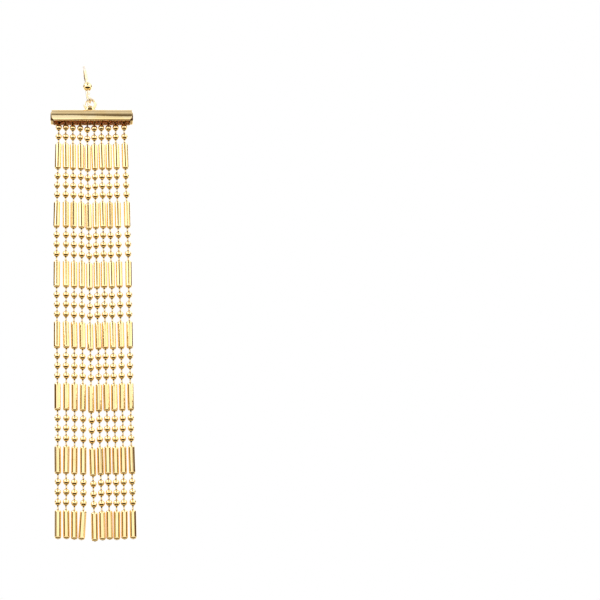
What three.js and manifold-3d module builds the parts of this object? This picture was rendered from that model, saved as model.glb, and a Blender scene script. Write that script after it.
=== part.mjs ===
// A dangle earring: an ear wire with a bead, a jump ring, a channel-shaped end cap, and ten strands
// of small balls and long bars that hang side by side from a pin inside the cap.
// Millimetres, +Z up, +X to the viewer's right, the front faces -Y.
// The origin is the seat: the inside of the ear wire's top bend, where it rests in the lobe.

import * as THREE from "three";
import * as BufferGeometryUtils from "three/addons/utils/BufferGeometryUtils.js";
import Module from "manifold-3d";

const wasm = await Module();
wasm.setup();

// Ear wire, measured in its own upright plane before it leans
const earWireDiameter = 0.8;
const bendRadius = 4.5;
const seatToBead = 8.25;
const beadToEye = 1.1;
const eyeRadius = 1.3;
const tailDrop = 9.0;
const tailFlickRadius = 6.0;
const tailFlickAngle = 0.4;
const earWireLean = THREE.MathUtils.degToRad(8);

// Bead on the ear wire
const beadDiameter = 3.0;
const beadBoreClearance = 0.15;

// Jump ring
const ringRadius = 1.76;
const ringWireDiameter = 0.88;
const ringClearance = 0.15;

// End cap
const capWidth = 27.0;
const capDepth = 5.3;
const capHeight = 4.4;
const capWall = 0.6;
const endWall = 0.75;
const upperCornerRadius = 0.9;
const lowerCornerRadius = 1.3;
const capOffset = 0.6;
const capBelowRing = 0.2;

// Bail: the strap on the crown that the jump ring runs through
const bailWidth = 1.4;
const bailThickness = 0.5;
const bailHoleRadius = 0.8;

// Pin inside the cap that carries the strands
const pinDiameter = 0.5;
const pinDrop = 3.0;
const pinSetback = 0.2;

// Strands
const ballDiameter = 2.1;
const barDiameter = 2.12;
const barLength = 9.0;
const linkWireDiameter = 0.5;
const ballGap = 1.11;
const barGap = 1.3;
const loopWireDiameter = 0.4;
const loopClearance = 0.2;
const loopTurn = 1.5 * Math.PI;
const firstBallDrop = 5.9;
const firstBalls = 2;
const ballsPerGroup = 3;
const groups = 6;

// Where each strand runs, chosen by hand and counted in steps of which the cap is routeSteps wide:
// its x from the middle of the cap at the first ball, at each quarter of its length and at its lower
// end, and how much lower than the others it hangs.
const routeSteps = 27;
const strandRoute = [
  { top: -10.8, quarter: -11.3, half: -11.0, threeQuarters: -10.6, end: -10.35, lower: -0.2 },
  { top: -8.5, quarter: -8.35, half: -8.15, threeQuarters: -7.95, end: -7.85, lower: -0.2 },
  { top: -6.2, quarter: -5.8, half: -5.55, threeQuarters: -5.35, end: -5.4, lower: 0.0 },
  { top: -3.8, quarter: -3.3, half: -3.05, threeQuarters: -2.65, end: -2.6, lower: 0.1 },
  { top: -1.5, quarter: -1.0, half: -0.5, threeQuarters: 0.0, end: 0.9, lower: 0.55 },
  { top: 0.8, quarter: 1.3, half: 1.9, threeQuarters: 2.4, end: 3.2, lower: 0.2 },
  { top: 3.1, quarter: 3.65, half: 4.2, threeQuarters: 4.8, end: 5.45, lower: 0.0 },
  { top: 5.4, quarter: 5.95, half: 6.55, threeQuarters: 7.2, end: 7.7, lower: 0.1 },
  { top: 7.75, quarter: 8.45, half: 9.15, threeQuarters: 9.65, end: 10.0, lower: -0.1 },
  { top: 10.6, quarter: 11.45, half: 11.9, threeQuarters: 12.2, end: 12.7, lower: -0.2 },
];

// How finely round shapes are divided
const wireSides = 5;
const bendSteps = 20;
const eyeSteps = 12;
const ringSteps = 16;
const beadSides = 10;
const linkSides = 5;
const loopSteps = 9;
const bendPoints = 8;
const flickPoints = 4;
const beadArcSteps = 6;
const cornerSteps = 3;
const crownSteps = 8;
const bailSteps = 6;

// The bead's and the bar's round ends are cut to a few rings, at these shares of the radius
const ballShoulder = 0.36;
const barShoulder = 0.34;
const tipShare = 0.5;

// Worked out from the sizes above
const wireRadius = earWireDiameter / 2;
const beadRadius = beadDiameter / 2;
const ringWireRadius = ringWireDiameter / 2;
const linkRadius = linkWireDiameter / 2;
const bendCentreZ = wireRadius - bendRadius;
const frontY = -bendRadius;
const beadZ = -seatToBead;
const eyeZ = beadZ - beadRadius - beadToEye - eyeRadius - wireRadius;
const eyeFootZ = (eyeZ - eyeRadius) * Math.cos(earWireLean);
const eyeFootX = -(eyeZ - eyeRadius) * Math.sin(earWireLean);
const ringX = eyeFootX;
const ringTopZ = eyeFootZ + wireRadius + ringClearance + ringWireRadius;
const ringZ = ringTopZ - ringRadius;
const capX = ringX + capOffset;
const loopRadius = (pinDiameter + loopWireDiameter) / 2 + loopClearance;
const pinY = frontY - loopRadius;
const capY = pinY - pinSetback;
const capTopZ = ringZ - ringRadius - ringWireRadius - capBelowRing;
const pinZ = capTopZ - pinDrop;
const routeStep = capWidth / routeSteps;

const finish = { metalness: 1.0, roughness: 0.22 };
const gold = new THREE.MeshStandardMaterial({ color: 0xd9b872, ...finish });
const paleGold = new THREE.MeshStandardMaterial({ color: 0xe2c68a, ...finish });

// Solids, joins and cuts

function toSolid(geometry) {
  const bare = geometry.clone();
  bare.deleteAttribute("normal");
  bare.deleteAttribute("uv");
  const merged = BufferGeometryUtils.mergeVertices(bare, 1e-4);
  const mesh = new wasm.Mesh({
    numProp: 3,
    vertProperties: new Float32Array(merged.attributes.position.array),
    triVerts: new Uint32Array(merged.index.array),
  });
  return new wasm.Manifold(mesh);
}

function toGeometry(solid) {
  const mesh = solid.getMesh();
  const geometry = new THREE.BufferGeometry();
  geometry.setAttribute("position", new THREE.BufferAttribute(mesh.vertProperties, 3));
  geometry.setIndex(new THREE.BufferAttribute(mesh.triVerts, 1));
  geometry.computeVertexNormals();
  return geometry;
}

function namedMesh(name, geometry, material) {
  const mesh = new THREE.Mesh(geometry, material);
  mesh.name = name;
  return mesh;
}

// A regular polygon as a shape, for a wire's section
function polygonShape(radius, sides) {
  const points = [];
  for (let i = 0; i < sides; i += 1) {
    const angle = (2 * Math.PI * i) / sides;
    points.push(new THREE.Vector2(radius * Math.cos(angle), radius * Math.sin(angle)));
  }
  return new THREE.Shape(points);
}

// An outline in (y, z), pushed along X and centred on x = 0
function extrudeAlongX(shape, width, curveSegments) {
  const geometry = new THREE.ExtrudeGeometry(shape, { depth: width, bevelEnabled: false, curveSegments });
  geometry.translate(0, 0, -width / 2);
  geometry.rotateX(Math.PI / 2);
  geometry.rotateZ(Math.PI / 2);
  return geometry;
}

// An outline in (x, z), pushed along Y and centred on y = 0
function extrudeAlongY(shape, depth, curveSegments) {
  const geometry = new THREE.ExtrudeGeometry(shape, { depth, bevelEnabled: false, curveSegments });
  geometry.translate(0, 0, -depth / 2);
  geometry.rotateX(Math.PI / 2);
  return geometry;
}

// Joins a row of rings into one closed body. Each ring is a regular polygon: level, or tilted about X
// by the angle that its wire runs from straight down. Two neighbours have the same number of sides,
// or one has twice as many as the other.
function loftRings(rings) {
  const positions = [];
  const starts = [];
  for (const ring of rings) {
    starts.push(positions.length / 3);
    for (let i = 0; i < ring.sides; i += 1) {
      const angle = (2 * Math.PI * i) / ring.sides;
      positions.push(ring.x + ring.radius * Math.cos(angle));
      positions.push(ring.y + ring.radius * Math.sin(angle) * Math.cos(ring.tilt));
      positions.push(ring.z + ring.radius * Math.sin(angle) * Math.sin(ring.tilt));
    }
  }
  const triangles = [];
  for (let k = 0; k + 1 < rings.length; k += 1) {
    const upper = (i) => starts[k] + (i % rings[k].sides);
    const lower = (i) => starts[k + 1] + (i % rings[k + 1].sides);
    const steps = Math.min(rings[k].sides, rings[k + 1].sides);
    for (let i = 0; i < steps; i += 1) {
      if (rings[k].sides > rings[k + 1].sides) {
        triangles.push(upper(2 * i), lower(i), upper(2 * i + 1));
        triangles.push(upper(2 * i + 1), lower(i), lower(i + 1));
        triangles.push(upper(2 * i + 1), lower(i + 1), upper(2 * i + 2));
      } else if (rings[k].sides < rings[k + 1].sides) {
        triangles.push(upper(i), lower(2 * i), lower(2 * i + 1));
        triangles.push(upper(i), lower(2 * i + 1), upper(i + 1));
        triangles.push(upper(i + 1), lower(2 * i + 1), lower(2 * i + 2));
      } else {
        triangles.push(upper(i), lower(i), lower(i + 1));
        triangles.push(upper(i), lower(i + 1), upper(i + 1));
      }
    }
  }
  const last = rings.length - 1;
  for (let i = 1; i + 1 < rings[0].sides; i += 1) {
    triangles.push(starts[0], starts[0] + i, starts[0] + i + 1);
  }
  for (let i = 1; i + 1 < rings[last].sides; i += 1) {
    triangles.push(starts[last], starts[last] + i + 1, starts[last] + i);
  }
  const geometry = new THREE.BufferGeometry();
  geometry.setAttribute("position", new THREE.Float32BufferAttribute(positions, 3));
  geometry.setIndex(triangles);
  geometry.computeVertexNormals();
  return geometry;
}

// Ear wire: up from the eye, over the bend, down behind the lobe and out at the tail

function arcPoints(centreY, centreZ, radius, from, to, steps) {
  const points = [];
  for (let i = 0; i <= steps; i += 1) {
    const angle = from + ((to - from) * i) / steps;
    const y = centreY + radius * Math.cos(angle);
    const z = centreZ + radius * Math.sin(angle);
    points.push(new THREE.Vector3(0, y, z));
  }
  return points;
}

function makeEarWire() {
  const foot = new THREE.Vector3(0, frontY, eyeZ + eyeRadius);
  const bend = arcPoints(0, bendCentreZ, bendRadius, Math.PI, 0, bendPoints);
  const flickY = bendRadius + tailFlickRadius;
  const flickZ = bendCentreZ - tailDrop;
  const flickEnd = Math.PI + tailFlickAngle;
  const flick = arcPoints(flickY, flickZ, tailFlickRadius, Math.PI, flickEnd, flickPoints);
  const path = new THREE.CatmullRomCurve3([foot, ...bend, ...flick], false, "centripetal");
  const section = polygonShape(wireRadius, wireSides);
  const wire = new THREE.ExtrudeGeometry(section, { steps: bendSteps, extrudePath: path });
  const eye = new THREE.TorusGeometry(eyeRadius, wireRadius, wireSides, eyeSteps);
  eye.rotateY(Math.PI / 2);
  eye.translate(0, frontY, eyeZ);
  return namedMesh("ear_wire", toGeometry(toSolid(wire).add(toSolid(eye))), gold);
}

// Bead: a ball with a bore, turned as one closed profile about its axis

function makeHookBead() {
  const boreRadius = wireRadius + beadBoreClearance;
  const boreAngle = Math.asin(boreRadius / beadRadius);
  const profile = [];
  for (let i = 0; i <= beadArcSteps; i += 1) {
    const angle = boreAngle + ((Math.PI - 2 * boreAngle) * i) / beadArcSteps;
    profile.push(new THREE.Vector2(beadRadius * Math.sin(angle), -beadRadius * Math.cos(angle)));
  }
  profile.push(profile[0].clone());
  const geometry = new THREE.LatheGeometry(profile, beadSides);
  geometry.rotateX(Math.PI / 2);
  const bead = namedMesh("hook_bead", geometry, gold);
  bead.position.set(0, frontY, beadZ);
  return bead;
}

// Jump ring: hangs in the eye and carries the cap's bail

function makeJumpRing() {
  const geometry = new THREE.TorusGeometry(ringRadius, ringWireRadius, wireSides, ringSteps);
  geometry.rotateX(Math.PI / 2);
  const ring = namedMesh("jump_ring", geometry, paleGold);
  ring.position.set(ringX, frontY, ringZ);
  return ring;
}

// End cap: a folded channel, open below, with end plates, a bail on its crown and a pin inside

// The channel's section in (y, z): a half-round crown on straight sides
function channelShape(halfDepth, crownZ, lipZ) {
  const shape = new THREE.Shape();
  shape.moveTo(-halfDepth, lipZ);
  shape.lineTo(halfDepth, lipZ);
  shape.lineTo(halfDepth, crownZ - halfDepth);
  shape.absarc(0, crownZ - halfDepth, halfDepth, 0, Math.PI, false);
  shape.closePath();
  return shape;
}

// The channel's outline from the front, in (x, z), with its corners rounded
function frontShape(halfWidth, topZ, lipZ) {
  const upper = upperCornerRadius;
  const lower = lowerCornerRadius;
  const shape = new THREE.Shape();
  shape.absarc(halfWidth - lower, lipZ + lower, lower, -Math.PI / 2, 0, false);
  shape.absarc(halfWidth - upper, topZ - upper, upper, 0, Math.PI / 2, false);
  shape.absarc(upper - halfWidth, topZ - upper, upper, Math.PI / 2, Math.PI, false);
  shape.absarc(lower - halfWidth, lipZ + lower, lower, Math.PI, 1.5 * Math.PI, false);
  shape.closePath();
  return shape;
}

// The bail's outline in (y, z): an arch with an arched hole, standing on the crown
function bailShape(topZ, footZ) {
  const outer = bailHoleRadius + bailThickness;
  const shape = new THREE.Shape();
  shape.moveTo(-outer, footZ);
  shape.lineTo(-bailHoleRadius, footZ);
  shape.absarc(0, topZ - outer, bailHoleRadius, Math.PI, 0, true);
  shape.lineTo(bailHoleRadius, footZ);
  shape.lineTo(outer, footZ);
  shape.absarc(0, topZ - outer, outer, 0, Math.PI, false);
  shape.closePath();
  return shape;
}

function makeEndCap() {
  const halfDepth = capDepth / 2;
  const innerHalfDepth = halfDepth - capWall;
  const innerWidth = capWidth - 2 * endWall;
  const lipZ = -capHeight;

  const channel = toSolid(extrudeAlongX(channelShape(halfDepth, 0, lipZ), capWidth, crownSteps));
  const front = toSolid(extrudeAlongY(frontShape(capWidth / 2, 0, lipZ), 2 * capDepth, cornerSteps));
  const cavityShape = channelShape(innerHalfDepth, -capWall, lipZ - capWall);
  const cavity = toSolid(extrudeAlongX(cavityShape, innerWidth, crownSteps));

  // The ring's wire rises inside the bail's width, and the bail clears it there by the ring clearance
  const holeRadius = ringRadius - ringWireRadius;
  const ringRise = Math.sqrt(holeRadius ** 2 - (bailWidth / 2) ** 2);
  const ringCentreZ = ringZ - capTopZ;
  const bailTopZ = ringCentreZ - ringRise + ringClearance + bailThickness;
  const bail = extrudeAlongX(bailShape(bailTopZ, -halfDepth), bailWidth, bailSteps);
  bail.translate(ringX - capX, frontY - capY, 0);

  let cap = channel.intersect(front).add(toSolid(bail)).subtract(cavity);
  for (const side of [-1, 1]) {
    const plate = new THREE.BoxGeometry(endWall, 2 * innerHalfDepth, capHeight - halfDepth);
    plate.translate((side * (capWidth - endWall)) / 2, 0, (lipZ - halfDepth) / 2);
    cap = cap.add(toSolid(plate));
  }
  const pin = new THREE.CylinderGeometry(pinDiameter / 2, pinDiameter / 2, capWidth - endWall, wireSides);
  pin.rotateZ(Math.PI / 2);
  pin.translate(0, pinSetback, -pinDrop);
  cap = cap.add(toSolid(pin));

  const mesh = namedMesh("end_cap", toGeometry(cap), gold);
  mesh.position.set(capX, capY, capTopZ);
  return mesh;
}

// Strands: each is one body of balls and bars on their link wires, under a loop round the pin

function strandPieces() {
  const pieces = Array(firstBalls).fill("ball");
  for (let group = 0; group < groups; group += 1) {
    pieces.push("bar", ...Array(ballsPerGroup).fill("ball"));
  }
  pieces.push("bar");
  return pieces;
}

function pieceHalfLength(piece) {
  return piece === "ball" ? ballDiameter / 2 : barLength / 2;
}

function gapBetween(above, below) {
  return above === "ball" && below === "ball" ? ballGap : barGap;
}

// The middle of each piece, in mm below the first ball's middle
function pieceDrops(pieces) {
  const drops = [0];
  for (let i = 1; i < pieces.length; i += 1) {
    const halves = pieceHalfLength(pieces[i - 1]) + pieceHalfLength(pieces[i]);
    drops.push(drops[i - 1] + halves + gapBetween(pieces[i - 1], pieces[i]));
  }
  return drops;
}

// The loop at a strand's top: from its free end below the pin, round the front and over the pin, to
// where it runs straight down behind
function loopRings(x) {
  const rings = [];
  for (let i = 0; i <= loopSteps; i += 1) {
    const tilt = loopTurn * (1 - i / loopSteps);
    const y = pinY + loopRadius * Math.cos(tilt);
    const z = pinZ + loopRadius * Math.sin(tilt);
    rings.push({ x, y, z, tilt, radius: loopWireDiameter / 2, sides: linkSides });
  }
  return rings;
}

function makeStrand(route, index) {
  const pieces = strandPieces();
  const drops = pieceDrops(pieces);
  const length = drops[drops.length - 1] + barLength / 2;
  const stops = [route.top, route.quarter, route.half, route.threeQuarters, route.end];
  const sway = new THREE.SplineCurve(stops.map((stop, i) => new THREE.Vector2(stop * routeStep, i)));
  const firstZ = capTopZ - firstBallDrop - route.lower * routeStep;

  const ringAt = (drop, radius, sides) => {
    const share = THREE.MathUtils.clamp(drop / length, 0, 1);
    return { x: capX + sway.getPoint(share).x, y: frontY, z: firstZ - drop, tilt: 0, radius, sides };
  };

  const rings = loopRings(capX + route.top * routeStep);
  rings.push(ringAt(-ballDiameter / 2, linkRadius, linkSides));
  pieces.forEach((piece, i) => {
    const half = pieceHalfLength(piece);
    const radius = piece === "ball" ? ballDiameter / 2 : barDiameter / 2;
    const shoulder = piece === "ball" ? half * ballShoulder : half - radius * barShoulder;
    rings.push(ringAt(drops[i] - shoulder, radius, beadSides));
    rings.push(ringAt(drops[i] + shoulder, radius, beadSides));
    if (i + 1 < pieces.length) {
      const middle = drops[i] + half + gapBetween(piece, pieces[i + 1]) / 2;
      rings.push(ringAt(middle, linkRadius, linkSides));
    }
  });
  rings.push(ringAt(length, (barDiameter / 2) * tipShare, linkSides));

  const name = `strand_${String(index + 1).padStart(2, "0")}`;
  return namedMesh(name, loftRings(rings), index % 2 === 0 ? gold : paleGold);
}

// Assembly: the ear wire and its bead lean together about the seat

const earWireGroup = new THREE.Group();
earWireGroup.rotation.y = -earWireLean;
earWireGroup.add(makeEarWire());
earWireGroup.add(makeHookBead());

const earring = new THREE.Group();
earring.add(earWireGroup);
earring.add(makeJumpRing());
earring.add(makeEndCap());
for (const [index, route] of strandRoute.entries()) {
  earring.add(makeStrand(route, index));
}

export default earring;
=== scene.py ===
# %% [markdown]
# # A dangle earring of small gold-tone balls and bars
#
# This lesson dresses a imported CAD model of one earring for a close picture. An ear wire with a bead
# carries a jump ring, the ring carries a folded cap, and ten strings of balls and bars hang from a pin
# inside the cap. The CAD model says how large the pieces are and how they move. Here each piece gets its
# fine shape and its metal.
#
# Every new shape is a grid of points worked out with numpy. Lengths are in millimetres while a shape is
# worked out, and turn into metres when it becomes a mesh.

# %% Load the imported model
import math

import bpy
import numpy as np
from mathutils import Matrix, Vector


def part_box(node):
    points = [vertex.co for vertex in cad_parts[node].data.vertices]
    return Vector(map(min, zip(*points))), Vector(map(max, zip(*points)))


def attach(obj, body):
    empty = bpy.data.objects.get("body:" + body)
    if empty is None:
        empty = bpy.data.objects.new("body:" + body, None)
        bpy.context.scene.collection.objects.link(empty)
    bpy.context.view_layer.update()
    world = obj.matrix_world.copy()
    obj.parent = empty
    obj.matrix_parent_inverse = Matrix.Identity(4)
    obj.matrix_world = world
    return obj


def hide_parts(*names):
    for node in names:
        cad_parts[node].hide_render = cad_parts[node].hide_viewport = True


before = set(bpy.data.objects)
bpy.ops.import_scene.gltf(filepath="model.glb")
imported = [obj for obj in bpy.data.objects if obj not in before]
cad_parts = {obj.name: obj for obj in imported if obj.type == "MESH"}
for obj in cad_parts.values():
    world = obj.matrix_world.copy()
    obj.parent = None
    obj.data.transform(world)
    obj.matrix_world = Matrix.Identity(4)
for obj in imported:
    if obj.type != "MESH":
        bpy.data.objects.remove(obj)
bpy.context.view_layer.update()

MM = 0.001  # metres in a millimetre


# %% [markdown]
# ## From grids of points to meshes
#
# A polished metal piece is all reflections, so its faces have to follow one smooth rule. A grid does
# that: rows run along the piece and columns run round it. The grid closes on itself where the piece is
# round, and its two ends are shut with one flat face each.

# %% Grid helpers
def grid_faces(rows, columns, close_rows=False):
    """Four-sided faces of a grid that is closed round its columns, and along its rows if asked."""
    last = rows if close_rows else rows - 1
    row, column = np.meshgrid(np.arange(last), np.arange(columns), indexing="ij")
    below, beside = (row + 1) % rows, (column + 1) % columns
    corners = [(row, column), (below, column), (below, beside), (row, beside)]
    return np.stack([r * columns + c for r, c in corners], axis=-1).reshape(-1, 4).tolist()


def closed_tube(grid):
    """Faces of a grid of rings, with a flat face over the first ring and one over the last."""
    rows, columns = grid.shape[:2]
    first = list(range(columns))
    last = list(range((rows - 1) * columns, rows * columns))
    return grid_faces(rows, columns) + [first, last[::-1]]


def make_piece(name, parts, metal, body, replaced=(), marks=None):
    """One object at the origin from parts of (points in mm, faces). marks holds a number per point."""
    points, faces, count = [], [], 0
    for part_points, part_faces in parts:
        points.append(np.asarray(part_points, float).reshape(-1, 3))
        faces += [[index + count for index in face] for face in part_faces]
        count += len(points[-1])
    mesh = bpy.data.meshes.new(name)
    mesh.from_pydata((np.vstack(points) * MM).tolist(), [], faces)
    for mark, values in (marks or {}).items():
        layer = mesh.attributes.new(mark, "FLOAT", "POINT")
        layer.data.foreach_set("value", np.asarray(values, np.float32).ravel())
    mesh.polygons.foreach_set("use_smooth", np.ones(len(mesh.polygons), bool))
    mesh.validate()
    mesh.update()
    piece = bpy.data.objects.new(name, mesh)
    bpy.context.scene.collection.objects.link(piece)
    mesh.materials.append(metal)
    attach(piece, body)
    if replaced:
        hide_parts(*replaced)
    triangles = sum(len(face) - 2 for face in faces)
    print(f"{name}: {triangles} triangles, rides on {body}")


def sweep(path, radii, sides, across=(1.0, 0.0, 0.0)):
    """A round section of the given radii carried along a path that lies square to `across`.

    Point = path + radius * (cos(angle) * across + sin(angle) * side), where side is
    across x tangent.
    """
    path = np.asarray(path, float)
    across = np.asarray(across, float)
    tangent = np.gradient(path, axis=0)
    tangent /= np.linalg.norm(tangent, axis=1, keepdims=True)
    side = np.cross(across, tangent)
    angle = np.linspace(0, 2 * np.pi, sides, endpoint=False)[None, :, None]
    radii = np.broadcast_to(radii, len(path))[:, None, None]
    return path[:, None] + radii * (np.cos(angle) * across + np.sin(angle) * side[:, None])


print("a tube of 3 rings with 4 points each has", len(closed_tube(np.zeros((3, 4, 3)))), "faces")


# %% [markdown]
# ## The metal
#
# The pieces are brass with a thin pale gold plating. What the eye reads as gold is a mirror: white and
# cream where it faces the bright room, brown where it faces the dark band lower down, and orange where
# one bar mirrors its neighbour. So the material is a metal of low roughness, and its detail is slight:
# a waviness left by tumbling, fine scratches, tone that differs a little from bead to bead, and dark
# tarnish in the holes and seams.
#
# The ear wire and the jump ring are drawn wire, paler and more brushed than the rest. The inside of the
# cap is left unpolished, so the metal is rougher there, and it is painted rosier for the warm light that
# bounces between the flaps.
#
# Shader sums are easier to read as expressions, so a small class lets a socket be added and multiplied.

# %% Shader expressions
class Signal:
    """A value inside a shader. Sums and products with it add Math nodes."""

    def __init__(self, shader, socket):
        self.shader, self.socket = shader, socket

    def math(self, operation, *values):
        return self.shader.node("ShaderNodeMath", {"operation": operation}, dict(enumerate(values)))

    def __add__(self, other):
        return self.math("ADD", self, other)

    def __sub__(self, other):
        return self.math("SUBTRACT", self, other)

    def __rsub__(self, other):
        return self.math("SUBTRACT", other, self)

    def __mul__(self, other):
        return self.math("MULTIPLY", self, other)

    __radd__, __rmul__ = __add__, __mul__

    def between(self, low, high):
        """0 below low, 1 above high, and smooth between them."""
        settings = {"interpolation_type": "SMOOTHSTEP"}
        return self.shader.node("ShaderNodeMapRange", settings,
                                {"Value": self, "From Min": low, "From Max": high})


class Shader:
    """The node tree of a material or the world."""

    def __init__(self, owner):
        owner.use_nodes = True
        self.tree = owner.node_tree
        self.tree.nodes.clear()

    def node(self, kind, settings=None, inputs=None, output=0):
        """Adds a node, sets it up, then feeds its sockets. Returns one of its outputs."""
        made = self.tree.nodes.new(kind)
        for key, value in (settings or {}).items():
            if key == "stops":
                ramp = made.color_ramp
                while len(ramp.elements) < len(value):
                    ramp.elements.new(0.5)
                for element, (place, colour) in zip(ramp.elements, value):
                    element.position = place
                    element.color = (*colour, 1.0)
            else:
                setattr(made, key, value)
        for key, value in (inputs or {}).items():
            socket = made.inputs[key]
            if isinstance(value, Signal):
                self.tree.links.new(value.socket, socket)
            elif hasattr(socket.default_value, "__len__") and len(socket.default_value) == 4:
                socket.default_value = (*value[:3], 1.0)
            else:
                socket.default_value = value
        return Signal(self, made.outputs[output])

    def blend(self, share, first, second):
        """A colour that goes from the first to the second as share goes from 0 to 1."""
        inputs = {0: share, 6: first, 7: second}
        return self.node("ShaderNodeMix", {"data_type": "RGBA"}, inputs, output=2)

    def noise(self, place, scale, detail):
        """Smooth random values about 0.5. scale counts the swells in a metre."""
        inputs = {"Vector": place, "Scale": scale, "Detail": detail}
        return self.node("ShaderNodeTexNoise", inputs=inputs)

    def mark(self, name):
        """The number that the mesh carries under this name at each point."""
        return self.node("ShaderNodeAttribute", {"attribute_name": name}, output="Fac")

    def finish(self, kind, signal):
        """Joins the last shader to the output node."""
        end = self.tree.nodes.new(kind)
        self.tree.links.new(signal.socket, end.inputs["Surface"])


print("a socket can be added, subtracted and multiplied, and eased between two values")


# %% Gold plating
PALE = (0.95, 0.735, 0.375)
WARM = (0.93, 0.68, 0.30)
CHAMPAGNE = (0.97, 0.89, 0.76)
ROSE_BOUNCE_LIGHT = (0.97, 0.70, 0.44)
# Dark brown for real tarnish in the chain's holes, seams and pinholes, and for painted shade on the end
# plates.
TARNISH_AND_SHADE = (0.085, 0.04, 0.012)
# Swells in a metre, from the broad patches of tone to the finest scratches.
PATCHES, TUMBLING, PINHOLES, SCRATCHES = 260.0, 700.0, 3400.0, 5200.0


def plated_gold(name, first, second, roughness, stretch=(1.0, 1.0, 1.0), waviness=0.000005,
                grain_share=0.06, marked=False):
    """Gold plating in two tones. A small stretch draws the scratches out along that axis, as brushing
    does. waviness is the swells' height in metres. marked metal follows the numbers tone, crevice and
    dull that a mesh carries. crevice is tarnish on the chain and painted shade on the end plates; dull
    makes the metal rougher and paints it rosier for the warm light that bounces inside the cap.
    """
    metal = bpy.data.materials.new(name)
    shader = Shader(metal)
    place = shader.node("ShaderNodeTexCoord", output="Object")
    fine_place = shader.node("ShaderNodeMapping", inputs={"Vector": place, "Scale": stretch})
    cloud = shader.noise(place, PATCHES, 2.0)
    grain = shader.noise(fine_place, SCRATCHES, 3.0)
    swell = shader.noise(place, TUMBLING, 1.0)
    colour = shader.blend(cloud.between(0.35, 0.65), first, second)
    rough = grain.between(0.45, 0.8) * 0.10 + cloud * 0.05 + (roughness - 0.04)
    if marked:
        tone, crevice, dull = shader.mark("tone"), shader.mark("crevice"), shader.mark("dull")
        colour = shader.blend(tone * 0.6, colour, WARM)
        # Painted bounce light: the cap's inside is painted rosier for the warm light between its flaps.
        colour = shader.blend(dull, colour, ROSE_BOUNCE_LIGHT)
        # crevice darkens the chain's holes and seams with tarnish, and paints shade on the end plates'
        # front part.
        colour = shader.blend(crevice, colour, TARNISH_AND_SHADE)
        pinhole = shader.noise(place, PINHOLES, 0.0).between(0.80, 0.84)
        colour = shader.blend(pinhole * 0.6, colour, TARNISH_AND_SHADE)
        rough = rough + crevice * 0.35 + pinhole * 0.2 + dull * 0.70
    height = swell + grain * grain_share
    bump = shader.node("ShaderNodeBump", output="Normal",
                       inputs={"Strength": 1.0, "Distance": waviness, "Height": height})
    surface = shader.node("ShaderNodeBsdfPrincipled",
                          inputs={"Base Color": colour, "Metallic": 1.0, "Roughness": rough,
                                  "Normal": bump})
    shader.finish("ShaderNodeOutputMaterial", surface)
    print("material", name)
    return metal


wire_gold = plated_gold("plated_gold_wire", PALE, WARM, roughness=0.10)
drawn_gold = plated_gold("plated_gold_drawn_wire", CHAMPAGNE, PALE, roughness=0.34,
                         stretch=(1.0, 1.0, 0.05), grain_share=0.12)
cap_gold = plated_gold("plated_gold_brushed_sheet", PALE, WARM, roughness=0.12,
                       stretch=(0.05, 1.0, 1.0), waviness=0.000009, grain_share=0.16, marked=True)
chain_gold = plated_gold("plated_gold_chain", PALE, WARM, roughness=0.075, waviness=0.000008, marked=True)


# %% [markdown]
# ## Where things are
#
# The sizes of the wire, the ring and the beads repeat the ones that the CAD model was made from, and the
# place of each piece follows from them. The cap's box in the CAD model is printed beside the cap's
# crown, as a check.

# %% Places from the sizes
WIRE_RADIUS = 0.4
BEND_RADIUS = 4.5
LEAN = math.radians(8)
FRONT_Y = -BEND_RADIUS
EYE_RADIUS = 1.3
EYE_Z = -12.55
EYE_PLAY = 0.15  # between the eye's wire and the ring's wire
RING_RADIUS = 1.76
RING_WIRE_RADIUS = 0.44
RING_X = -(EYE_Z - EYE_RADIUS) * math.sin(LEAN)
RING_TOP = (EYE_Z - EYE_RADIUS) * math.cos(LEAN) + WIRE_RADIUS + EYE_PLAY + RING_WIRE_RADIUS
RING_Z = RING_TOP - RING_RADIUS
BAIL_X = -0.6  # the bail, the pin and the loops are counted from the middle of the crown's top
PIN_Y, PIN_Z = 0.2, -3.0
LOOP_RADIUS = 0.65
CROWN_DROP = 0.2  # from the ring's lowest point down to the crown
CAP_X = RING_X - BAIL_X
CAP_Y = FRONT_Y - LOOP_RADIUS - PIN_Y
CAP_TOP_Z = RING_Z - RING_RADIUS - RING_WIRE_RADIUS - CROWN_DROP
cap_low, cap_high = (np.array(corner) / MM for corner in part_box("end_cap"))
print("cap in the frame:", cap_low.round(3), cap_high.round(3), "crown at z", round(CAP_TOP_Z, 3))


# %% [markdown]
# ## Ear wire
#
# The hook is one length of round wire. Its maker turns an eye at one end with round-nosed pliers, bends
# the wire back under the shank, forms the hook over a rod, and flicks the tail out so that it finds the
# hole. A path of arcs and straights gives that, with the wire's section carried along it. The path lies
# in one upright plane, which then leans by a few degrees.

# %% Ear wire
def arc(centre, radius, start, end, steps):
    """Points on a circle in (y, z): centre + radius * (cos, sin), from start to end in degrees."""
    angle = np.radians(np.linspace(start, end, steps))
    return np.stack([centre[0] + radius * np.cos(angle), centre[1] + radius * np.sin(angle)], axis=1)


def lean(points):
    """Turns points about the Y axis through the seat, so that the wire's foot goes to +X."""
    x, y, z = points[..., 0], points[..., 1], points[..., 2]
    return np.stack([x * math.cos(LEAN) - z * math.sin(LEAN), y,
                     z * math.cos(LEAN) + x * math.sin(LEAN)], axis=-1)


def straight(y, start, end, steps):
    """Points (y, z) on an upright line from start to end, without the first."""
    return np.stack([np.full(steps, y), np.linspace(start, end, steps + 1)[1:]], axis=1)


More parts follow.
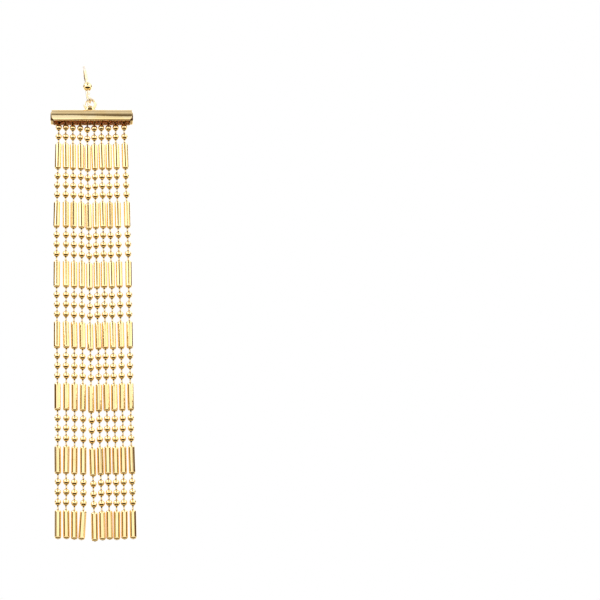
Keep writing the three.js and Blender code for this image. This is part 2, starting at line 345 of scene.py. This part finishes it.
def hook_path():
    """Eye, S-bend, shank, hook bend, tail and flick, end to end."""
    eye_mouth, s_turn = 128.0, 70.0
    tail_length, flick_radius, flick_turn = 9.0, 6.0, math.degrees(0.4)
    eye_end = np.array([FRONT_Y + EYE_RADIUS * math.cos(math.radians(s_turn)),
                        EYE_Z + EYE_RADIUS * math.sin(math.radians(s_turn))])
    s_radius = (eye_end[0] - FRONT_Y) / (1 - math.sin(math.radians(90 - s_turn)))
    s_centre = (FRONT_Y + s_radius, eye_end[1] + s_radius * math.sin(math.radians(s_turn)))
    bend_z = WIRE_RADIUS - BEND_RADIUS
    tail_z = bend_z - tail_length
    flat = np.vstack([
        arc((FRONT_Y, EYE_Z), EYE_RADIUS, eye_mouth, 360 + s_turn, 60)[:-1],
        arc(s_centre, s_radius, 180 + s_turn, 180, 14),
        straight(FRONT_Y, s_centre[1], bend_z, 11),
        arc((0, bend_z), BEND_RADIUS, 180, 0, 48)[1:],
        straight(BEND_RADIUS, bend_z, tail_z, 11),
        arc((BEND_RADIUS + flick_radius, tail_z), flick_radius, 180, 180 + flick_turn, 14)[1:],
    ])
    return np.column_stack([np.zeros(len(flat)), flat])


def rounded_ends(path, radius, steps=5):
    """Repeats the path's ends with shrinking radii, so that a wire ends in a low dome."""
    tip = 0.08
    turn = np.linspace(tip, np.pi / 2, steps)
    dome_height = radius * 0.6
    first = path[0] - path[1]
    last = path[-1] - path[-2]
    first, last = first / np.linalg.norm(first), last / np.linalg.norm(last)
    head = path[0] + first * dome_height * np.cos(turn)[:, None]
    tail = path[-1] + last * dome_height * np.cos(turn)[::-1, None]
    dome = radius * np.sin(turn)
    radii = np.concatenate([dome, np.full(len(path) - 2, radius), dome[::-1]])
    return np.vstack([head, path[1:-1], tail]), radii


hook_line, hook_radii = rounded_ends(hook_path(), WIRE_RADIUS)
hook_grid = lean(sweep(hook_line, hook_radii, 24))
make_piece("ear_wire_bent", [(hook_grid, closed_tube(hook_grid))], drawn_gold, "hook",
           ["ear_wire"])
hook_points = hook_grid.reshape(-1, 3)
print("ear wire spans", hook_points.min(0).round(2), hook_points.max(0).round(2))


# %% [markdown]
# ## Bead on the ear wire
#
# A hollow bead is threaded on the shank. Its profile is a ball's arc, a small rolled rim and the bore,
# turned about the wire.

# %% Hook bead
BEAD_RADIUS, BEAD_BORE, BEAD_Z = 1.5, 0.55, -8.25
RIM_WIDTH, RIM_DEPTH = 0.1, 0.08


def hook_bead(sides=40):
    """The closed profile (radius, height) turned about the shank."""
    rim = math.asin((BEAD_BORE + RIM_WIDTH) / BEAD_RADIUS)
    rim_z = BEAD_RADIUS * math.cos(rim)
    turn = np.linspace(rim, np.pi - rim, 30)
    ball = np.stack([BEAD_RADIUS * np.sin(turn), BEAD_RADIUS * np.cos(turn)], axis=1)
    bottom = [(BEAD_BORE + 0.03, -rim_z + 0.01), (BEAD_BORE, -rim_z + RIM_DEPTH)]
    top = [(BEAD_BORE, rim_z - RIM_DEPTH), (BEAD_BORE + 0.03, rim_z - 0.01)]
    profile = np.vstack([ball, bottom, [(BEAD_BORE, 0.0)], top])
    angle = np.linspace(0, 2 * np.pi, sides, endpoint=False)
    grid = np.stack([profile[:, :1] * np.cos(angle), FRONT_Y + profile[:, :1] * np.sin(angle),
                     BEAD_Z + np.repeat(profile[:, 1:], sides, axis=1)], axis=-1)
    return lean(grid)


bead_grid = hook_bead()
bead_faces = grid_faces(*bead_grid.shape[:2], close_rows=True)
make_piece("hook_bead_turned", [(bead_grid, bead_faces)], wire_gold, "hook", ["hook_bead"])


# %% [markdown]
# ## Jump ring
#
# The ring is cut from a coil of the same pale drawn wire, opened sideways and closed again, so a fine cut
# shows where its two ends meet. It is an open tube whose ends almost touch, with a small bevel at each
# end.

# %% Jump ring
def jump_ring():
    """Centre + (R cos, 0, R sin), all but a fine cut, with the wire's section round it."""
    cut = 0.035 / RING_RADIUS
    start = math.radians(205)
    bevel_turn, bevel_share = 0.02, 0.92
    turn = np.linspace(start + cut, start + 2 * np.pi - cut, 90)
    turn = np.concatenate([[turn[0], turn[0] + bevel_turn], turn[1:-1],
                           [turn[-1] - bevel_turn, turn[-1]]])
    path = np.stack([RING_X + RING_RADIUS * np.cos(turn), np.full(len(turn), FRONT_Y),
                     RING_Z + RING_RADIUS * np.sin(turn)], axis=1)
    radii = np.full(len(turn), RING_WIRE_RADIUS)
    radii[[0, -1]] *= bevel_share
    return sweep(path, radii, 28, across=(0.0, 1.0, 0.0))


ring_grid = jump_ring()
make_piece("jump_ring_cut", [(ring_grid, closed_tube(ring_grid))], drawn_gold, "ring",
           ["jump_ring"])


# %% [markdown]
# ## Folded cap
#
# The cap is one strip of sheet folded over into a channel, with an end plate soldered into each end.
# Its section is a closed line: up the front flap, over the half-round crown, down the back flap, round
# the lip and back inside. The flaps' lower corners are rounded, so the section's half-width changes
# with height.
#
# The flaps draw in a little towards the lip, which is what splits the front into a dark band and a
# bright one. The lip is rolled in more strongly, which draws a fine bright line and a dark one along
# the lower edge. The inside is left unpolished, so its points carry a number that makes the metal
# rougher and paints it rosier for the warm light that bounces inside the cap.

# %% Cap section
CAP_WIDTH, CAP_DEPTH, CAP_HEIGHT, WALL = 27.0, 5.3, 4.4, 0.6
PLATE_PROUD = 0.42  # from the sheet's end to the end plate's outer face
UPPER_CORNER, LOWER_CORNER = 0.5, 1.3
LIP_START, LIP_ROUND = 0.1, 0.12
# Heights below which the flaps and the lip draw in, and how far. The flaps turn lower to the right.
FLAP_TURN_Z, FLAP_TURN_FALL, FLAP_BEND, FLAP_DRAW = -2.65, 0.45, 1.3, 0.14
LIP_TURN_Z, LIP_BEND, LIP_DRAW = -3.93, 0.4, 0.07
FALL_FROM_X, FALL_WIDTH = -7.0, 16.0
WAVE_HEIGHT, WAVE_LENGTH, WAVE_START = 0.02, 3.1, 0.6


def sheet_line(half_depth, steps=21, flap=20):
    """Half a section of the sheet, in (y, z), from the front lip over the crown to the back lip."""
    crown_z = -CAP_DEPTH / 2
    lip_z = -CAP_HEIGHT + LIP_START
    z = np.linspace(lip_z, crown_z, flap)
    front = np.stack([np.full(flap, -half_depth), z], axis=1)
    turn = np.radians(np.linspace(180, 0, steps))[1:-1]
    crown = np.stack([half_depth * np.cos(turn), crown_z + half_depth * np.sin(turn)], axis=1)
    back = front[::-1] * [-1, 1]
    return np.vstack([front, crown, back])


def half_width(z):
    """The front outline: half the cap's width, less the rounding at the lip and at the crown."""
    up = np.clip(LOWER_CORNER - (z + CAP_HEIGHT), 0, LOWER_CORNER)
    down = np.clip(UPPER_CORNER + z, 0, UPPER_CORNER)
    low = LOWER_CORNER - np.sqrt(LOWER_CORNER ** 2 - up ** 2)
    high = UPPER_CORNER - np.sqrt(UPPER_CORNER ** 2 - down ** 2)
    return CAP_WIDTH / 2 - PLATE_PROUD - np.maximum(low, high)


def cap_channel():
    """The section carried along X. Outer and inner lines match point by point."""
    outer = sheet_line(CAP_DEPTH / 2)
    inner = sheet_line(CAP_DEPTH / 2 - WALL)
    turn = np.radians(np.linspace(180, 360, 7))[1:-1]
    lip = np.stack([-WALL / 2 * np.cos(turn), np.sin(turn) * LIP_ROUND], axis=1)
    back_lip = (outer[-1] + inner[-1]) / 2 + lip
    front_lip = (outer[0] + inner[0]) / 2 + lip
    section = np.vstack([outer, back_lip, inner[::-1], front_lip])
    share = np.sin(np.linspace(-np.pi / 2, np.pi / 2, 41))
    x = share[:, None] * half_width(section[:, 1])
    y, z = np.broadcast_to(section[:, 0], x.shape), np.broadcast_to(section[:, 1], x.shape)
    flap_turn = FLAP_TURN_Z - FLAP_TURN_FALL * np.clip((x - FALL_FROM_X) / FALL_WIDTH, 0, 1)
    draw_in = FLAP_DRAW * np.clip((flap_turn - z) / FLAP_BEND, 0, 1.2) ** 1.5
    draw_in = draw_in + LIP_DRAW * np.clip((LIP_TURN_Z - z) / LIP_BEND, 0, 1.1) ** 2
    wave = WAVE_HEIGHT * np.sin(x / WAVE_LENGTH + WAVE_START) * np.clip(-z / CAP_HEIGHT, 0, 1)
    grid = np.stack([x, y + (wave - np.sign(y) * draw_in), z], axis=-1)
    return grid, len(outer), len(back_lip)


def cap_faces(grid, outer_count, lip_count):
    """The channel's skin, and the sheet's edge at each end between outer and inner line."""
    rows, columns = grid.shape[:2]
    faces = grid_faces(rows, columns)
    lip_last = outer_count + lip_count
    for row, turned in ((0, False), (rows - 1, True)):
        base = row * columns
        outer = base + np.arange(outer_count)
        inner = base + lip_last + outer_count - 1 - np.arange(outer_count)
        edge = np.stack([outer[:-1], outer[1:], inner[1:], inner[:-1]], axis=1)
        back = np.concatenate([[outer[-1]], base + outer_count + np.arange(lip_count), [inner[-1]]])
        front = np.concatenate([[inner[0]], base + lip_last + outer_count + np.arange(lip_count),
                                [outer[0]]])
        shut = edge.tolist() + [back.tolist(), front.tolist()]
        faces += [face[::-1] if turned else face for face in shut]
    return faces


CAP_PLACE = np.array([CAP_X, CAP_Y, CAP_TOP_Z])
channel_grid, line_count, lip_count = cap_channel()
channel_faces = cap_faces(channel_grid, line_count, lip_count)
# Painted bounce light: the inside's number makes the metal rougher and paints it a rosier colour for the
# warm light that bounces between the flaps.
inside = np.zeros(channel_grid.shape[:2])
inside[:, line_count:] = 0.5  # the lips lie between the polished outside and the dull inside
inside[:, line_count + lip_count:-lip_count] = 1.0
make_piece("end_cap_channel", [(channel_grid + CAP_PLACE, channel_faces)], cap_gold, "drop",
           ["end_cap"], {"dull": inside})


# %% [markdown]
# ## End plates, bail and pin
#
# The end plates follow the channel's inner line. They stand a little proud of the sheet's ends and are
# soft at the edges. The bail is a strap of oval section bent into an arch, with both feet soldered into
# the crown. The pin runs from plate to plate and carries the strings.

# %% End plates, bail and pin
# Each ring of an end plate: how far it lies from the cap's middle, and its share of the full outline.
PLATE_X = np.array([12.60, 12.62, 12.70, 13.05, 13.20, 13.35, 13.45, 13.49])
PLATE_SHARE = np.array([0.93, 0.985, 1.0, 1.0, 0.985, 0.93, 0.83, 0.70])
PLATE_BITE = 0.02  # how far its rim goes into the sheet
PLATE_BOTTOM, PLATE_MIDDLE = 0.03, 0.9  # above the cap's lower edge
# Painted shade: each end plate's front part is darkened where it sits behind the front flap.
PLATE_SHADE_Y, PLATE_SHADE_WIDTH = -1.5, 0.4  # the plates darken towards the front flap
PIN_HALF, PIN_RADIUS = 13.0, 0.25


def end_plate(side):
    """The inner line shut along its lip, as rings that shrink at the two faces to soften the edges."""
    line = sheet_line(CAP_DEPTH / 2 - WALL + PLATE_BITE)
    bottom_y = np.linspace(line[-1, 0], line[0, 0], 12)[1:-1]
    bottom = np.stack([bottom_y, np.full(10, -CAP_HEIGHT + PLATE_BOTTOM)], axis=1)
    loop = np.vstack([line, bottom])
    middle = np.array([0.0, -CAP_HEIGHT + PLATE_MIDDLE])
    ring = middle + (loop - middle) * PLATE_SHARE[:, None, None]
    x = np.broadcast_to(PLATE_X[:, None, None], ring[..., :1].shape)
    grid = np.concatenate([x, ring], axis=-1)
    return grid if side > 0 else grid[::-1] * [-1, 1, 1]


def bail_strap():
    """An oval section, 1.4 by 0.54 mm and wider at the feet, carried over the arch from foot to foot."""
    arch_y, arch_z, arch_radius = 0.85, 0.631, 1.05
    front_foot, back_foot = -0.3, -1.25
    half_across, half_thick, foot_height, foot_spread = 0.7, 0.27, 1.7, 0.95
    front_z = np.linspace(front_foot, arch_z, 6)[:-1]
    front = np.stack([np.full(5, arch_y - arch_radius), front_z], axis=1)
    arch = arc((arch_y, arch_z), arch_radius, 180, 0, 25)
    flat = np.vstack([front, arch, straight(arch_y + arch_radius, arch_z, back_foot, 6)])
    path = np.column_stack([np.full(len(flat), BAIL_X), flat])
    tangent = np.gradient(path, axis=0)
    tangent /= np.linalg.norm(tangent, axis=1, keepdims=True)
    out = np.cross([1.0, 0.0, 0.0], tangent)
    angle = np.linspace(0, 2 * np.pi, 32, endpoint=False)
    flare = 1 + foot_spread * np.clip(1 - path[:, 2] / foot_height, 0, 1) ** 1.2
    across = half_across * np.cos(angle) * flare[:, None]
    thick = half_thick * np.sin(angle)
    return path[:, None] + across[:, :, None] * [1.0, 0, 0] + thick[None, :, None] * out[:, None]


plates = [end_plate(-1), end_plate(1)]
plate_parts = [(grid + CAP_PLACE, closed_tube(grid)) for grid in plates]
# Painted shade on the front part of each plate, behind the front flap.
plate_shade = [np.clip(PLATE_SHADE_Y - grid[..., 1], 0, PLATE_SHADE_WIDTH).ravel() / PLATE_SHADE_WIDTH
           for grid in plates]
make_piece("end_cap_plates", plate_parts, cap_gold, "drop",
           marks={"crevice": np.concatenate(plate_shade)})

strap = bail_strap()
make_piece("end_cap_bail", [(strap + CAP_PLACE, closed_tube(strap))], cap_gold, "drop")

pin_line = np.stack([np.linspace(-PIN_HALF, PIN_HALF, 40), np.full(40, PIN_Y), np.full(40, PIN_Z)],
                    axis=1)
pin_grid = sweep(pin_line, PIN_RADIUS, 16, across=(0.0, 1.0, 0.0))
make_piece("end_cap_pin", [(pin_grid + CAP_PLACE, closed_tube(pin_grid))], cap_gold, "drop")


# %% [markdown]
# ## Strings of balls and bars
#
# This is ball and bar chain: hollow balls and tubes, each pressed from thin strip round a wire, so each
# ball has a dimpled hole at either pole and each tube has rounded ends and a seam along it. A whole
# string is one skin here. A profile of rings runs from the loop at the pin down through every ball and
# bar. The grid has extra columns close to the seam, and it turns a little at each link so that every
# bar's seam points its own way, as on a real string. A few seams stand open towards the bar's lower end,
# and one last bar hangs loose, because the strip is thin and springs back.

# %% Profiles of a ball and a bar
BALL_RADIUS, BAR_RADIUS, BAR_LENGTH = 1.05, 1.06, 9.0
LINK_RADIUS, LOOP_WIRE_RADIUS = 0.25, 0.2
BALL_GAP, BAR_GAP = 1.11, 1.3
HOLE_RADIUS, HOLE_RIM, HOLE_FLOOR = 0.42, 0.40, 0.34
HOLE_ROWS = 3
HOLE_DARK = np.array([0.9, 1.0, 0.5])


def with_holes(body, pole, depth):
    """Puts the link wire and a dimpled hole before and after the body, whose ends lie at the poles.

    Returns rows of (offset, radius), and how tarnished each row is.
    """
    hole = np.array([[-pole + depth, LINK_RADIUS], [-pole + (depth - 0.01), HOLE_FLOOR],
                     [-pole + 0.03, HOLE_RIM]])
    line = np.vstack([hole, body, hole[::-1] * [-1, 1]])
    return line, np.concatenate([HOLE_DARK, np.zeros(len(body)), HOLE_DARK[::-1]])


def ball_profile():
    """Rows of (offset, radius, crevice, split): the wire, the dimple, the ball's arc, and back."""
    rim = math.asin(HOLE_RADIUS / BALL_RADIUS)
    turn = np.linspace(rim, np.pi - rim, 17)
    ball = np.stack([-BALL_RADIUS * np.cos(turn), BALL_RADIUS * np.sin(turn)], axis=1)
    line, dark = with_holes(ball, BALL_RADIUS * math.cos(rim), 0.14)
    return np.column_stack([line, dark, np.zeros(len(line))])


def bar_profile(split):
    """Rows of (offset, radius, crevice, split): a tube with softly rounded ends and dimpled holes.

    Over an end the radius is R * (1 - (1 - t) ** p) ** (1 / p), where t goes to 1.
    """
    half, end, power = BAR_LENGTH / 2, 0.72, 2.2
    turn = np.linspace(0.10, 1, 10)
    dome = BAR_RADIUS * (1 - (1 - turn) ** power) ** (1 / power)
    dome[0] = HOLE_RADIUS
    head = np.column_stack([-half + end * turn - end * turn[0], dome])
    along = np.array([-3.3, -2.2, -0.8, 0.8, 2.0, 2.7, 3.3])
    middle = np.column_stack([along, np.full(len(along), BAR_RADIUS)])
    line, dark = with_holes(np.vstack([head, middle, head[::-1] * [-1, 1]]), half, 0.16)
    split_top, split_rise = 2.3, 1.6
    gap = split * np.clip((line[:, 0] - split_top) / split_rise, 0, 1)
    return np.column_stack([line, dark, gap])


# Where the grid's columns lie, in degrees from the seam.
NEAR_SEAM = np.array([-7.5, -4.0, 0.0, 4.0, 7.5])
COLUMNS = np.concatenate([NEAR_SEAM, np.linspace(19, 341, 25)])
print("columns round a string:", len(COLUMNS), "rings on a ball:", len(ball_profile()),
      "rings on a bar:", len(bar_profile(0)))


# %% [markdown]
# Each string follows a slightly bent line, because the real ones never hang quite straight. The line
# passes five stops, and between them it is the same smooth curve that the CAD strands follow.

# %% Routes of the strings
# For each string five stops, in mm from the cap's middle, and how much lower than the rest it hangs.
ROUTES = np.array([
    [-10.8, -11.3, -11.0, -10.6, -10.35, -0.2],
    [-8.5, -8.35, -8.15, -7.95, -7.85, -0.2],
    [-6.2, -5.8, -5.55, -5.35, -5.4, 0.0],
    [-3.8, -3.3, -3.05, -2.65, -2.6, 0.1],
    [-1.5, -1.0, -0.5, 0.0, 0.9, 0.55],
    [0.8, 1.3, 1.9, 2.4, 3.2, 0.2],
    [3.1, 3.65, 4.2, 4.8, 5.45, 0.0],
    [5.4, 5.95, 6.55, 7.2, 7.7, 0.1],
    [7.75, 8.45, 9.15, 9.65, 10.0, -0.1],
    [10.6, 11.45, 11.9, 12.2, 12.7, -0.2],
])
KINDS = ["ball"] * 2 + (["bar"] + ["ball"] * 3) * 6 + ["bar"]
HALVES = np.where(np.array(KINDS) == "bar", BAR_LENGTH / 2, BALL_RADIUS)
GAPS = np.array([BALL_GAP if a == b == "ball" else BAR_GAP for a, b in zip(KINDS, KINDS[1:])])
DROPS = np.concatenate([[0.0], np.cumsum(HALVES[:-1] + HALVES[1:] + GAPS)])
LENGTH = DROPS[-1] + BAR_LENGTH / 2
print(f"each string: {len(KINDS)} balls and bars, {LENGTH:.2f} mm from the first ball's middle")


def route_x(stops, drop):
    """Catmull-Rom through five evenly spaced stops, with the end stops repeated."""
    share = np.clip(np.asarray(drop) / LENGTH, 0, 1) * 4
    index = np.minimum(share.astype(int), 3)
    t = share - index
    padded = np.concatenate([stops[:1], stops, stops[-1:]])
    a, b, c, d = (padded[index + k] for k in range(4))
    rise, fall = (c - a) / 2, (d - b) / 2
    cubed = 2 * b - 2 * c + rise + fall
    squared = 3 * c - 3 * b - 2 * rise - fall
    return cubed * t ** 3 + squared * t ** 2 + rise * t + b


# %% [markdown]
# Each ring of the grid is one row of ten numbers: its place, how far its plane is tilted, its radius, the
# angle of the seam, how tarnished it is, how far a split seam stands open, whether the seam's groove
# runs through it, and its tone. A bar's seam stays straight, and the turn to the next bar's seam happens
# on the link wires between them, where nobody sees it.

# %% Rings of a string
X, Y, Z, TILT, RADIUS, SEAM, CREVICE, SPLIT, GROOVE, TONE = range(10)
FIRST_DROP = 5.9  # from the crown to the middle of the first ball
LOOP_STEPS = 22
FACES_FRONT = 270.0
OPEN_SEAMS = {(2, 5): 1.0, (6, 5): 1.0, (4, 2): 0.5, (8, 3): 0.6}  # (string, bar): how far
LOOSE_STRING, LOOSE_ASIDE, LOOSE_BACK = 3, -0.062, 0.03
# How much the balls and bars stray: aside in mm, in slope, and as a share of their size.
STRAY_ASIDE, STRAY_SLOPE, STRAY_SIZE = 0.03, 0.008, 0.006
LINK_WAIST, WIRE_END = 0.96, 0.7
SEAM_DEPTH, SPLIT_DEPTH, SPLIT_SPREAD = 0.10, 0.22, 1.3


def loop_rings(stop, seam):
    """The loop: pin + R * (cos tilt, sin tilt) in (y, z), round to the string's front."""
    tilt = np.linspace(1.5 * np.pi, 0, LOOP_STEPS)
    loop = np.zeros((LOOP_STEPS, 10))
    loop[:, X] = CAP_X + stop
    loop[:, Y] = CAP_Y + PIN_Y + LOOP_RADIUS * np.cos(tilt)
    loop[:, Z] = CAP_TOP_Z + PIN_Z + LOOP_RADIUS * np.sin(tilt)
    loop[:, TILT] = tilt
    loop[:, RADIUS] = LOOP_WIRE_RADIUS
    loop[0, RADIUS] = LOOP_WIRE_RADIUS * WIRE_END
    loop[:, SEAM] = seam
    return loop


def string_rings(number, rng):
    """All rings of one string, from its loop to the end of its last bar."""
    stops, lower = ROUTES[number, :5], ROUTES[number, 5]
    first_z = CAP_TOP_Z - FIRST_DROP - lower
    rows = [loop_rings(stops[0], FACES_FRONT + rng.uniform(-60, 60))]
    bars_above = 0
    for place, kind in enumerate(KINDS):
        seam, shape = np.nan, ball_profile()
        if kind == "bar":
            seam = FACES_FRONT + rng.uniform(-170, 170)
            shape = bar_profile(OPEN_SEAMS.get((number, bars_above), 0.0))
            bars_above += 1
        drop, offset = DROPS[place], shape[:, 0]
        slope = float(route_x(stops, drop + 1) - route_x(stops, drop - 1)) / 2
        sway = rng.normal(0, STRAY_ASIDE, 2)
        swing = rng.normal(0, STRAY_SLOPE, 2) + [slope, 0]
        if number == LOOSE_STRING and place == len(KINDS) - 1:
            swing = np.array([slope + LOOSE_ASIDE, LOOSE_BACK])
            sway[0] = LOOSE_ASIDE * BAR_LENGTH / 2
        ring = np.zeros((len(shape), 10))
        ring[:, X] = CAP_X + route_x(stops, drop) + sway[0] + swing[0] * offset
        ring[:, Y] = FRONT_Y + sway[1] + swing[1] * offset
        ring[:, Z] = first_z - drop - offset
        ring[:, RADIUS] = shape[:, 1] * (1 + rng.normal(0, STRAY_SIZE))
        ring[:, SEAM] = seam
        ring[:, CREVICE] = shape[:, 2]
        ring[:, SPLIT] = shape[:, 3]
        ring[HOLE_ROWS:-HOLE_ROWS, GROOVE] = float(kind == "bar")
        ring[:, TONE] = rng.uniform(0, 1)
        rows.append(ring)
        if place + 1 < len(KINDS):
            link = ring[-1].copy()
            link[Z] -= (HALVES[place] + GAPS[place] / 2) - offset[-1]
            link[[RADIUS, SEAM, CREVICE]] = LINK_RADIUS * LINK_WAIST, np.nan, 0.0
            rows.append(link[None])
    rings = np.vstack(rows)
    known = ~np.isnan(rings[:, SEAM])
    on_wire = rings[:, RADIUS] <= LINK_RADIUS * 1.05
    travel = np.cumsum(on_wire)
    rings[:, SEAM] = np.interp(travel, travel[known], rings[known, SEAM])
    return rings


def string_grid(rings):
    """Ring + radius * (cos a, sin a cos tilt, sin a sin tilt), with the seam pressed in."""
    x, y, z, tilt, radius, seam, crevice, split, groove, tone = rings.T[..., None]
    spread = np.ones((len(rings), len(COLUMNS)))
    spread[:, :len(NEAR_SEAM)] += SPLIT_SPREAD * split
    angle = np.radians(seam + COLUMNS * spread)
    on_seam = (COLUMNS == 0.0).astype(float)
    reach = radius - groove * on_seam * (SEAM_DEPTH + SPLIT_DEPTH * split)
    across = np.sin(angle) * reach
    points = np.stack([x + np.cos(angle) * reach, y + across * np.cos(tilt),
                       z + across * np.sin(tilt)], axis=-1)
    return points, np.maximum(crevice, groove * on_seam), np.broadcast_to(tone, angle.shape)


# %% [markdown]
# The random numbers come from one fixed seed, so the strings hang alike on every run.

# %% Make the ten strings
rng = np.random.default_rng(27)
for number in range(len(ROUTES)):
    points, dark, tone = string_grid(string_rings(number, rng))
    make_piece(f"bead_string_{number + 1:02d}", [(points, closed_tube(points))], chain_gold, "drop",
               [f"strand_{number + 1:02d}"], {"crevice": dark, "tone": tone})


# %% [markdown]
# ## Camera, room and light
#
# The picture was taken from a little below with a long lens, so the beads' rows spread out slightly
# towards the bottom. The object hangs left of the middle of the picture, which the lens shift gives.

# %% Camera
VIEW_RISE = math.radians(17)
DISTANCE = 0.6
LENS, LENS_SHIFT = 113.4, 0.347
TARGET = np.array([CAP_X * MM, FRONT_Y * MM, -0.0815])
camera_data = bpy.data.cameras.new("camera")
camera_data.lens = LENS
camera_data.shift_x = LENS_SHIFT
camera_data.clip_start = 0.01
camera = bpy.data.objects.new("camera", camera_data)
bpy.context.scene.collection.objects.link(camera)
camera.location = TARGET - DISTANCE * np.array([0, math.cos(VIEW_RISE), math.sin(VIEW_RISE)])
camera.rotation_euler = (math.pi / 2 + VIEW_RISE, 0, 0)
bpy.context.scene.camera = camera
bpy.context.scene.view_settings.view_transform = "Standard"
print("camera at", [round(v, 4) for v in camera.location])

# %% [markdown]
# Polished metal shows the room. To the camera the room is white. In reflections it is bright above and
# at eye level, dark in a band lower down, cream straight below and tan low behind. Dark walls at the
# sides draw the bars' outlines. In front there is a bright patch about eye level with a grey and a dark
# strip over it, and these draw the thin dark lines down the upper bars.

# %% Room
world = bpy.data.worlds.new("room")
bpy.context.scene.world = world
room = Shader(world)
way = room.node("ShaderNodeTexCoord", output="Generated")
side, depth, rise = (room.node("ShaderNodeSeparateXYZ", inputs={"Vector": way}, output=axis)
                     for axis in "XYZ")
# The ramp goes from straight down at 0 over eye level at 0.5 to straight up at 1.
glow = room.node("ShaderNodeValToRGB", {"stops": [
    (0.0, (0.72, 0.63, 0.43)),
    (0.03, (0.60, 0.52, 0.34)),
    (0.08, (0.05, 0.033, 0.011)),
    (0.20, (0.012, 0.008, 0.002)),
    (0.31, (0.025, 0.016, 0.005)),
    (0.345, (0.45, 0.37, 0.26)),
    (0.38, (1.4, 1.42, 1.5)),
    (0.68, (1.5, 1.53, 1.65)),
    (0.82, (2.6, 2.7, 3.0)),
]}, {"Fac": rise * 0.5 + 0.5})
aside = side.math("ABSOLUTE", side)
to_front = (depth * -1.0).between(-0.15, 0.15)
to_back = 1.0 - to_front
strip = (1.0 - aside.between(0.25, 0.40)) * to_front
ceiling = to_front * rise.between(0.75, 0.97) + to_back * rise.between(0.25, 0.40)
behind_low = to_back * (1.0 - rise.between(-0.38, -0.24))
walls = aside.between(0.56, 0.78) * (1.0 - rise.between(0.36, 0.50)) * rise.between(0.02, 0.14)
front_patch = (1.0 - aside.between(0.06, 0.16)) * to_front * (1.0 - rise.between(0.27, 0.34))
grey_strip = strip * rise.between(0.26, 0.34) * (1.0 - 0.27 * rise.between(0.45, 0.95))
dark_strip = strip * rise.between(0.26, 0.32) * (1.0 - rise.between(0.38, 0.88))
mirrored = glow
for share, colour in [
    (ceiling, (0.86, 0.86, 0.95)),
    (behind_low, (0.58, 0.51, 0.37)),
    (walls, (0.13, 0.075, 0.035)),
    (front_patch * rise.between(0.02, 0.14), (0.98, 1.05, 1.25)),
    (grey_strip, (0.52, 0.51, 0.55)),
    (dark_strip * 0.96, (0.15, 0.12, 0.09)),
]:
    mirrored = room.blend(share, mirrored, colour)
seen = room.node("ShaderNodeLightPath", output="Is Camera Ray")
shown = room.node("ShaderNodeBackground", inputs={"Color": (1.0, 1.0, 1.0), "Strength": 1.0})
lit = room.node("ShaderNodeBackground", inputs={"Color": mirrored, "Strength": 1.0})
both = room.node("ShaderNodeMixShader", inputs={0: seen, 1: lit, 2: shown})
room.finish("ShaderNodeOutputWorld", both)
print("the room is made of", len(room.tree.nodes), "nodes")


# %% [markdown]
# ## Lights and floor
#
# Three large soft lights give the lit sides a little more light than the room does, without a hard spot
# on any ball. The floor is pale paper far below the earring. The metal doesn't mirror it, so the room
# alone decides what the metal shows.

# %% Lights and floor
def soft_light(name, place, size, power):
    """A square area light that faces the middle of the object and isn't seen itself."""
    data = bpy.data.lights.new(name, "AREA")
    data.size, data.energy = size, power
    light = bpy.data.objects.new(name, data)
    light.location = place
    towards = Vector(TARGET - np.array(place))
    light.rotation_euler = towards.to_track_quat("-Z", "Y").to_euler()
    light.visible_camera = False
    bpy.context.scene.collection.objects.link(light)


soft_light("light_left", (-0.45, -0.35, 0.22), 0.30, 0.9)
soft_light("light_right", (0.50, -0.25, 0.15), 0.25, 0.5)
soft_light("light_behind", (0.10, 0.50, 0.30), 0.35, 0.6)

FLOOR_Z, FLOOR_HALF = -0.32, 40.0
floor_corners = [(x * FLOOR_HALF, y * FLOOR_HALF, FLOOR_Z)
                 for x, y in ((-1, -1), (1, -1), (1, 1), (-1, 1))]
floor_mesh = bpy.data.meshes.new("floor")
floor_mesh.from_pydata(floor_corners, [], [(0, 1, 2, 3)])
floor = bpy.data.objects.new("floor", floor_mesh)
bpy.context.scene.collection.objects.link(floor)
paper = bpy.data.materials.new("pale_paper")
sheet = Shader(paper)
fibre = sheet.noise(sheet.node("ShaderNodeTexCoord", output="Object"), 30.0, 4.0)
white = sheet.blend(fibre, (0.83, 0.81, 0.76), (0.86, 0.84, 0.79))
matt = sheet.node("ShaderNodeBsdfPrincipled", inputs={"Base Color": white, "Roughness": 0.9})
sheet.finish("ShaderNodeOutputMaterial", matt)
floor_mesh.materials.append(paper)
floor.visible_glossy = False
print("floor at z", FLOOR_Z)
